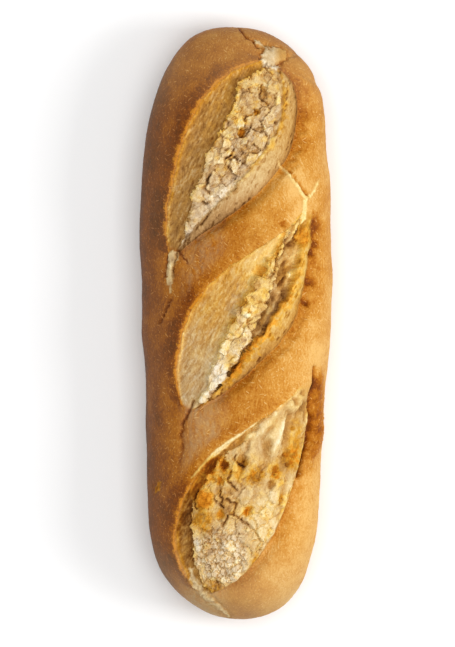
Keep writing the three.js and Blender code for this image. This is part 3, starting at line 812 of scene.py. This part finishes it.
sprung = plain + grid_normals(plain) * height[..., None]
sprung[..., :2] += lean
unevenness = wander_over(sprung, UNEVEN, 10, 2)
pebbles = wander_over(sprung, PEBBLE, 11)
knobs = wander_over(sprung, KNOB, 12, 2)
pulled_thin = bell(np.hypot(x - THIN_X, y - THIN_Y), THIN_REACH)
plain_side = np.maximum(pulled_thin, PLAIN_END_SHARE * smooth(x, *PLAIN_END))
beside_crease = bell(near_crease - KNOB_PLACE, KNOB_REACH) * smooth(y, *KNOBBLY_SIDE)
knobbly = np.maximum(beside_crease * (1 - plain_side), roll)
crust_detail = UNEVEN_RISE * unevenness + PEBBLE_RISE * pebbles + KNOB_RISE * knobbly * knobs
detail += (1 - crumb) * crust_detail
baked = sprung + grid_normals(sprung) * detail[..., None]
baked[..., 2] = np.maximum(baked[..., 2], 0)

# Browning and painted shade: the crust is darkest where its lips stood up to the heat. It is paler down
# the -Y side, where the side lamp stands, and darker down the +Y side, partly a real bake and partly
# painted light and shade. Creases, cracks, grooves and the pits between knobs are painted dark as painted
# shade. Bake runs from pale to dark brown, fringe is the golden edge of a lip, and dust is flour left from
# shaping, with a painted sheen down the +Y side and over the ends.
MOST_BAKE = 0.9
BLOTCH, LONG_FLECK = 6, (5, 1.3, 1.3)
FRINGE_WIDTH, FRINGE_WAVER, FRINGE_SIZE = 1.2, 0.9, 3


def heat_spot(spot_x, spot_y, reach_along, reach_across):
    """1 at a place in plan, dying away over its reaches."""
    return bell(np.hypot((x - spot_x) / reach_along, (y - spot_y) / reach_across), 1)


blotches = wander_over(sprung, BLOTCH, 28, 2)
long_flecks = wander_over(sprung, LONG_FLECK, 27)
on_bridge = smooth(y, 0, 12) * smooth(y, 26, 17) * smooth(x, 75, 45) * smooth(near_lip, 3, 8)
off_tray = smooth(z, 4, 22)
browning_and_shade = [  # how much darker, and where
    (0.4, 1),
    # darker towards +Y and paler towards -Y: partly a real bake, partly painted light and shade
    (0.24, y / (WIDTH / 2)),
    (0.12, unevenness),
    (0.22, lip_heat * bell(near_lip - 3, 4)),
    (-0.16, (1 - lip_heat) * bell(near_lip, 4)),
    (0.1, lip_heat * bell(near_lip - 3.5, 2.5) * blotches),
    (0.13, knobbly),
    # paler on the knobs and darker in the pits between them, as painted light and shade
    (-0.16, knobbly * knobs),
    # scorching, and painted shade in the cracks, grooves and the roll's crease
    (0.4, scorch_and_crevice_shade),
    (0.36, roll * smooth(y, -37, -33) * smooth(x, -64, -50)),
    # painted shade in the creases under the bridges of crust
    (0.2, (1 - plain_side) * bell(near_crease, 1)),
    (-0.05, on_bridge),
    (-0.06, smooth(x, -70, -120)),
    (0.03, smooth(x, 75, 105)),
    # the next three: paler towards -Y and darker towards +Y, partly painted light and shade
    (-0.12, smooth(y, -4, -30) * smooth(x, 55, -15)),
    (0.12, smooth(y, 22, 34) * smooth(x, -20, 60)),
    (0.12, smooth(y, 24, 32) * smooth(x, -20, -70)),
    (0.1, smooth(y, 0, -20) * smooth(x, 52, 80)),
    # the next two: darker down the +Y flank, partly painted shade
    (0.1, smooth(y, 28, 38)),
    (0.25, smooth(z, 31, 23) * smooth(z, 5, 17) * smooth(y, 20, 34)),
    (-0.2, smooth(z, 10, 2)),
    (-0.17, heat_spot(57, -22, 13, 13)),
    (0.08, heat_spot(34, 7, 9, 9)),
    (0.12, heat_spot(34, -36, 18, 6)),
    (0.08, heat_spot(5, -33, 22, 22)),
    (-0.1, heat_spot(-13, -20, 10, 10)),
    (0.15, heat_spot(-79, -22, 6, 2.5)),
    (0.2, heat_spot(-107, 30, 11, 11)),
]
flour_and_sheen = [  # how much flour, and where
    # the next three: a grey painted sheen down the +Y side and over both ends
    (0.1, smooth(y, 16, 34)),
    (0.34, smooth(x, -85, -122) * off_tray),
    (0.18, smooth(x, 80, 112) * off_tray),
    # flour on the bridges and on the base
    (0.18, on_bridge),
    (0.13, on_bridge * smooth(x, 0, -20)),
    (0.3, on_bridge * long_flecks),
    (0.4, smooth(z, 5, 1)),
]
bake_and_shade = np.clip(sum(by * where for by, where in browning_and_shade), 0, MOST_BAKE)
dust_and_sheen = sum(by * where for by, where in flour_and_sheen) * (1 - np.clip(scorch_and_crevice_shade, 0, 1))
dust_and_sheen = np.clip(dust_and_sheen, 0, 1)
fringe_width = FRINGE_WIDTH + FRINGE_WAVER * wander_over(sprung, FRINGE_SIZE, 31)
fringe = lip_heat * bell(near_lip, fringe_width) * (0.6 + 0.5 * specks)

# The loaf's mesh, with a point at each end where the rings close. Broken crumb has flat faces, so that it
# looks crisp, and the rest is smooth.
CRISP = 0.3  # share of broken crumb from which a face is flat
first_end = np.array([[HALF_LENGTH, middle_line(HALF_LENGTH), WAIST]])
last_end = np.array([[-HALF_LENGTH, middle_line(-HALF_LENGTH), WAIST]])
points = np.concatenate([first_end, baked.reshape(-1, 3), last_end]) * MM
ring_count = len(ring_x)
corner = 1 + np.arange(ring_count * COLUMNS).reshape(ring_count, COLUMNS)
following = np.roll(corner, -1, axis=1)
quads = np.stack([corner[1:], corner[:-1], following[:-1], following[1:]], axis=-1).reshape(-1, 4)
first_fan = np.stack([np.zeros(COLUMNS, int), following[0], corner[0]], axis=-1)
last_fan = np.stack([np.full(COLUMNS, len(points) - 1), corner[-1], following[-1]], axis=-1)
mesh = bpy.data.meshes.new("loaf_crust")
mesh.from_pydata(points.tolist(), [], first_fan.tolist() + quads.tolist() + last_fan.tolist())
crisp = np.concatenate([[0], chipped.ravel(), [0]])
rounded = np.ones(len(mesh.polygons), bool)
rounded[COLUMNS : COLUMNS + len(quads)] = crisp[quads].mean(axis=1) < CRISP
mesh.polygons.foreach_set("use_smooth", rounded)
masks = {
    "bake_and_shade": bake_and_shade, "fringe": fringe, "dust_and_sheen": dust_and_sheen,
    "crumb": crumb, "tone": tone, "warmth": warmth, "chipped": chipped,
}
for name, values in masks.items():
    attribute = mesh.attributes.new(name, "FLOAT", "POINT")
    with_ends = np.concatenate([[values[0].mean()], values.ravel(), [values[-1].mean()]])
    attribute.data.foreach_set("value", with_ends)
edges = mesh.attributes.new("edge_place", "FLOAT_VECTOR", "POINT")
far_off = [[0, FAR, 0]]
edges.data.foreach_set("vector", np.concatenate([far_off, edge_place.reshape(-1, 3), far_off]).ravel())
loaf = bpy.data.objects.new("baked_loaf", mesh)
bpy.context.scene.collection.objects.link(loaf)

# Baked crust and crumb: one skin of wheat bread whose colour runs with the heat it met and with painted
# light and shade, from floury and pale in the slashes to brown on the lips. The crust is dull with a fine
# sandy grain and short pale flecks, painted highlights where tiny blisters catch the light. The crumb is
# drier and rougher.
def linear(hex_colour):
    """An sRGB hex colour as linear light, with full alpha."""
    parts = [int(hex_colour[k : k + 2], 16) / 255 for k in (1, 3, 5)]
    return [p / 12.92 if p <= 0.04045 else ((p + 0.055) / 1.055) ** 2.4 for p in parts] + [1.0]


def node(kind, inputs=None, stops=(), **settings):
    """Adds a node to the bread's tree with its settings, its inputs set or linked, and a ramp's stops of
    place and colour. A node that is given as an input is linked from its first output in use."""
    made = tree.nodes.new(kind)
    for name, value in settings.items():
        setattr(made, name, value)
    for name, value in (inputs or {}).items():
        if isinstance(value, bpy.types.Node):
            value = next(output for output in value.outputs if output.enabled)
        if isinstance(value, bpy.types.NodeSocket):
            tree.links.new(value, made.inputs[name])
        else:
            made.inputs[name].default_value = value
    for spare in stops[2:]:
        made.color_ramp.elements.new(spare[0])
    for number, (place, colour) in enumerate(stops):
        made.color_ramp.elements[number].position = place
        made.color_ramp.elements[number].color = linear(colour)
    return made


GRIT, MOTTLE = 0.7, 7.0
bread = bpy.data.materials.new("baked_crust")
bread.use_nodes = True
tree = bread.node_tree
tree.nodes.clear()
mask = {name: node("ShaderNodeAttribute", attribute_name=name).outputs["Fac"] for name in masks}
places = node("ShaderNodeTexCoord").outputs["Object"]
normal = node("ShaderNodeNewGeometry").outputs["Normal"]
grit = node("ShaderNodeTexNoise", {"Vector": places, "Scale": 1 / (GRIT * MM), "Detail": 2.0})
mottle = node("ShaderNodeTexNoise", {"Vector": places, "Scale": 1 / (MOTTLE * MM), "Detail": 3.0})

# Flecks, painted highlights of tiny blisters: one in each cell, lying any way along the surface. They are
# drawn wider than the real ones, to show.
FLECK_SPACING, FLECK_WIDTH, FLECK_LENGTH = 2.4, 0.45, 2.8
cells = node("ShaderNodeTexVoronoi", {"Vector": places, "Scale": 1 / (FLECK_SPACING * MM)})
own_colour, own_centre = cells.outputs["Color"], cells.outputs["Position"]
from_centre = node("ShaderNodeVectorMath", {0: places, 1: own_centre}, operation="SUBTRACT")
upright = node("ShaderNodeVectorMath", {0: from_centre, 1: normal}, operation="PROJECT")
flat = node("ShaderNodeVectorMath", {0: from_centre, 1: upright}, operation="SUBTRACT")
any_way = node("ShaderNodeVectorMath", {0: own_colour, 1: (0.5, 0.5, 0.5)}, operation="SUBTRACT")
lie = node("ShaderNodeVectorMath", {0: any_way}, operation="NORMALIZE")
along_fleck = node("ShaderNodeVectorMath", {0: flat, 1: lie}, operation="DOT_PRODUCT")
along_fleck = node("ShaderNodeMath", {0: along_fleck}, operation="ABSOLUTE")
across_fleck = node("ShaderNodeVectorMath", {0: flat, 1: lie}, operation="CROSS_PRODUCT")
across_fleck = node("ShaderNodeVectorMath", {0: across_fleck}, operation="LENGTH")
within = [
    node(
        "ShaderNodeMapRange",
        {"Value": away, "From Min": size / 4 * MM, "From Max": size / 2 * MM, "To Min": 1.0, "To Max": 0.0},
    )
    for away, size in ((along_fleck, FLECK_LENGTH), (across_fleck, FLECK_WIDTH))
]
fleck = node("ShaderNodeMath", {0: within[0], 1: within[1]}, operation="MULTIPLY")
fleck_highlight = node("ShaderNodeMath", {0: fleck, 1: own_colour}, operation="MULTIPLY")

# Strokes of browning stand square to the lips and creases, where the skin stretched and split as it dried.
STROKE_WIDTH, STROKE_LENGTH, STROKE_REACH, STROKE_BAKE = 0.6, 3, 9, 0.6
edge_places = node("ShaderNodeAttribute", attribute_name="edge_place").outputs["Vector"]
per_stroke = (1 / STROKE_WIDTH, 1 / STROKE_LENGTH, 1)
stroke_places = node("ShaderNodeVectorMath", {0: edge_places, 1: per_stroke}, operation="MULTIPLY")
stroke = node("ShaderNodeTexNoise", {"Vector": stroke_places, "Scale": 1.0, "Detail": 2.0})
from_edge = node("ShaderNodeSeparateXYZ", {"Vector": edge_places}).outputs["Y"]
by_edge = node(
    "ShaderNodeMapRange",
    {"Value": from_edge, "From Max": STROKE_REACH, "To Min": STROKE_BAKE, "To Max": 0.0},
)
either_way = node("ShaderNodeMath", {0: stroke, 1: 0.5}, operation="SUBTRACT")

# Dashes: short brush marks all over, curled by a slow noise.
DASH_WIDTH, DASH_LENGTH, DASH_TURN, CURL = 0.7, 3.2, 0.5, 9
curl = node("ShaderNodeTexNoise", {"Vector": places, "Scale": 1 / (CURL * MM), "Detail": 1.0})
curled = curl.outputs["Color"]
curled_places = node(
    "ShaderNodeVectorMath", {0: curled, 1: (CURL * MM,) * 3, 2: places}, operation="MULTIPLY_ADD"
)
dash_places = node(
    "ShaderNodeMapping",
    {
        "Vector": curled_places, "Rotation": (0, 0, DASH_TURN),
        "Scale": (1 / (DASH_LENGTH * MM), 1 / (DASH_WIDTH * MM), 1 / (DASH_WIDTH * MM)),
    },
)
dash = node("ShaderNodeTexNoise", {"Vector": dash_places, "Scale": 1.0, "Detail": 1.0})

# The crust's colour: browning and painted shade with its patterns through a ramp, then the golden fringe,
# flour with its painted sheen, and flecks of painted highlight over it.
BAKE_LEVEL = 0.22  # what the patterns add on the whole, taken off again
FRINGE_FROM, FRINGE_TO, FRINGE_MOST = 1.35, 1.65, 0.75
FLECK_HIGHLIGHT_COVER = 0.22
BROWNS = [(0.0, "#D8AA62"), (0.25, "#C28634"), (0.5, "#A66212"), (0.72, "#7E400C"), (1.0, "#542A0C")]
bake_and_shade_level = node("ShaderNodeMath", {0: either_way, 1: by_edge, 2: mask["bake_and_shade"]}, operation="MULTIPLY_ADD")
darkening = ((grit, 0.4), (mottle, 0.4), (dash, -0.36), (fleck_highlight, -0.36))
for pattern, by in darkening:
    bake_and_shade_level = node("ShaderNodeMath", {0: pattern, 1: by, 2: bake_and_shade_level}, operation="MULTIPLY_ADD")
bake_and_shade_level = node("ShaderNodeMath", {0: bake_and_shade_level, 1: BAKE_LEVEL}, operation="SUBTRACT")
crust_colour = node("ShaderNodeValToRGB", {"Fac": bake_and_shade_level}, stops=BROWNS)
frayed = mask["fringe"]
fraying = ((stroke, 0.8), (grit, 1.2))
for pattern, by in fraying:
    frayed = node("ShaderNodeMath", {0: pattern, 1: by, 2: frayed}, operation="MULTIPLY_ADD")
fringe_cover = node(
    "ShaderNodeMapRange",
    {"Value": frayed, "From Min": FRINGE_FROM, "From Max": FRINGE_TO, "To Max": FRINGE_MOST},
)
fleck_highlight_cover = node("ShaderNodeMath", {0: fleck_highlight, 1: FLECK_HIGHLIGHT_COVER}, operation="MULTIPLY")
for cover, colour in ((fringe_cover, "#CC8420"), (mask["dust_and_sheen"], "#B59D74"), (fleck_highlight_cover, "#D4B084")):
    over_it = {"Factor": cover, "A": crust_colour, "B": linear(colour)}
    crust_colour = node("ShaderNodeMix", over_it, data_type="RGBA")

# The crumb's colour: chips of two sizes differ in warmth, and in tone, partly as painted light and shade
# on their facets, with gaps between them painted dark as painted shade. Tone goes through three ramps, and
# warmth picks between them.
CHIPS = (  # size, change of tone partly as painted facet light, painted shade and width of the gaps, change of warmth, and turn
    (4.0, 0.08, 0.1, 0.05, 0.12, 0.6),
    (1.6, 0.06, 0.06, 0.09, 0.06, 0.2),
)
CHIP_TILT, WARP, WARP_BY = 0.3, 2.5, 0.4
TONE_LEVEL = 0.22  # what the patterns add on the whole, taken off again
FULL_WARMTH, FULL_TOAST = 1.0, 1.5
CRUMB_COLOURS = {  # at even steps of tone
    "floury": ("#2A1C0C", "#604626", "#9E8262", "#CBB79B", "#EEE7DA"),
    "golden": ("#3C2008", "#7A440E", "#BE8628", "#E0BC62", "#F6E6A8"),
    "toasted": ("#3C1C06", "#7C3E08", "#C47818", "#E6A83C", "#F4CC78"),
}
warp = node("ShaderNodeTexNoise", {"Vector": places, "Scale": 1 / (WARP * MM), "Detail": 1.0})
warped = warp.outputs["Color"]
chip_places = node(
    "ShaderNodeVectorMath", {0: warped, 1: (WARP_BY * WARP * MM,) * 3, 2: places}, operation="MULTIPLY_ADD"
)
tone_level, warmth_level = mask["tone"], mask["warmth"]
for size, lit, gap_shade, gap_width, tint, tilt in CHIPS:
    turned = node(
        "ShaderNodeMapping",
        {"Vector": chip_places, "Rotation": (CHIP_TILT, tilt, tilt), "Scale": (1 / (size * MM),) * 3},
    )
    chip_shape = {"Vector": turned, "Scale": 1.0}
    nearest = node("ShaderNodeTexVoronoi", chip_shape, distance="CHEBYCHEV")
    second = node("ShaderNodeTexVoronoi", chip_shape, distance="CHEBYCHEV", feature="F2")
    own = node("ShaderNodeSeparateColor", {"Color": nearest.outputs["Color"]}).outputs
    edge = node("ShaderNodeMath", {0: second, 1: nearest}, operation="SUBTRACT")
    own_tone = node("ShaderNodeMapRange", {"Value": own["Red"], "To Min": -lit, "To Max": lit})
    gap = node(
        "ShaderNodeMapRange", {"Value": edge, "From Max": gap_width, "To Min": -gap_shade, "To Max": 0.0}
    )
    chip_tone = node("ShaderNodeMath", {0: own_tone, 1: gap}, operation="ADD")
    chip_warmth = node("ShaderNodeMapRange", {"Value": own["Green"], "To Min": -tint, "To Max": tint})
    added_tone = {0: chip_tone, 1: mask["chipped"], 2: tone_level}
    tone_level = node("ShaderNodeMath", added_tone, operation="MULTIPLY_ADD")
    added_warmth = {0: chip_warmth, 1: mask["chipped"], 2: warmth_level}
    warmth_level = node("ShaderNodeMath", added_warmth, operation="MULTIPLY_ADD")
lightening = ((grit, 0.2), (dash, 0.24))
for pattern, by in lightening:
    tone_level = node("ShaderNodeMath", {0: pattern, 1: by, 2: tone_level}, operation="MULTIPLY_ADD")
tone_level = node("ShaderNodeMath", {0: tone_level, 1: TONE_LEVEL}, operation="SUBTRACT")
floury, golden, toasted = (
    node(
        "ShaderNodeValToRGB", {"Fac": tone_level},
        stops=[(step / (len(colours) - 1), colour) for step, colour in enumerate(colours)],
    )
    for colours in CRUMB_COLOURS.values()
)
soft = node("ShaderNodeMix", {"Factor": warmth_level, "A": floury, "B": golden}, data_type="RGBA")
toast = node(
    "ShaderNodeMapRange", {"Value": warmth_level, "From Min": FULL_WARMTH, "From Max": FULL_TOAST}
)
crumb_colour = node("ShaderNodeMix", {"Factor": toast, "A": soft, "B": toasted}, data_type="RGBA")

CRUST_ROUGHNESS, CRUMB_ROUGHNESS, GLOSS = 0.55, 0.85, 0.06
FLECK_BUMP, BUMP_STRENGTH, BUMP_HEIGHT = 0.3, 0.6, 0.3
crust_and_crumb = {"Factor": mask["crumb"], "A": crust_colour, "B": crumb_colour}
colour = node("ShaderNodeMix", crust_and_crumb, data_type="RGBA")
roughness = node(
    "ShaderNodeMapRange", {"Value": mask["crumb"], "To Min": CRUST_ROUGHNESS, "To Max": CRUMB_ROUGHNESS}
)
raised = node("ShaderNodeMath", {0: fleck, 1: FLECK_BUMP, 2: grit}, operation="MULTIPLY_ADD")
bump = node(
    "ShaderNodeBump", {"Height": raised, "Strength": BUMP_STRENGTH, "Distance": BUMP_HEIGHT * MM}
)
shader = node(
    "ShaderNodeBsdfPrincipled",
    {"Base Color": colour, "Roughness": roughness, "Normal": bump, "Specular IOR Level": GLOSS},
)
node("ShaderNodeOutputMaterial", {"Surface": shader})
mesh.materials.append(bread)

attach(loaf, "root")
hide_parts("loaf")

# The stage: a plain white floor under a broad overhead lamp, with a smaller lamp on the -Y side. Sizes from
# here on are in metres.
FLOOR_REACH = 3.0
LAMPS = (("overhead", (0, 0, 6), 5, 300), ("side", (-0.1, -0.92, 0.78), 0.5, 8))  # place, size and power
ROOM_LIGHT = 0.3
floor_mesh = bpy.data.meshes.new("floor")
floor_corners = [(FLOOR_REACH * i, FLOOR_REACH * j, 0) for i, j in ((-1, -1), (1, -1), (1, 1), (-1, 1))]
floor_mesh.from_pydata(floor_corners, [], [(0, 1, 2, 3)])
floor_piece = bpy.data.objects.new("floor", floor_mesh)
bpy.context.scene.collection.objects.link(floor_piece)
paper = bpy.data.materials.new("white_paper")  # matt card, with no gloss to catch the lamps
paper.use_nodes = True
paper.node_tree.nodes["Principled BSDF"].inputs["Base Color"].default_value = linear("#F3F3F3")
paper.node_tree.nodes["Principled BSDF"].inputs["Roughness"].default_value = 0.9
floor_mesh.materials.append(paper)

for name, place, size, power in LAMPS:
    lamp_data = bpy.data.lights.new(name, "AREA")
    lamp_data.size = size
    lamp_data.energy = power
    lamp = bpy.data.objects.new(name, lamp_data)
    lamp.location = place
    lamp.rotation_euler = (-Vector(place)).to_track_quat("-Z", "Y").to_euler()
    bpy.context.scene.collection.objects.link(lamp)
world = bpy.data.worlds.new("pale_room")
world.use_nodes = True
world.node_tree.nodes["Background"].inputs["Color"].default_value = linear("#FFFFFF")
world.node_tree.nodes["Background"].inputs["Strength"].default_value = ROOM_LIGHT
bpy.context.scene.world = world
bpy.context.scene.view_settings.view_transform = "Standard"

# The camera looks straight down, with the first end at the top of the picture. Its long lens keeps the
# crown of the loaf at the same scale as its waist.
PICTURE = (455, 647)
PIXEL = 0.4223 * MM  # real size of a pixel at the loaf's waist
LOAF_MIDDLE = (236, 323)
LENS, SENSOR = 700, 36
camera_data = bpy.data.cameras.new("camera")
camera_data.lens = LENS
camera_data.sensor_width = SENSOR
camera_distance = PICTURE[1] * PIXEL * LENS / SENSOR
camera = bpy.data.objects.new("camera", camera_data)
camera.location = (
    (LOAF_MIDDLE[1] - PICTURE[1] / 2) * PIXEL,
    (LOAF_MIDDLE[0] - PICTURE[0] / 2) * PIXEL,
    WAIST * MM + camera_distance,
)
camera.rotation_euler = (0, 0, -math.pi / 2)
bpy.context.scene.collection.objects.link(camera)
bpy.context.scene.camera = camera
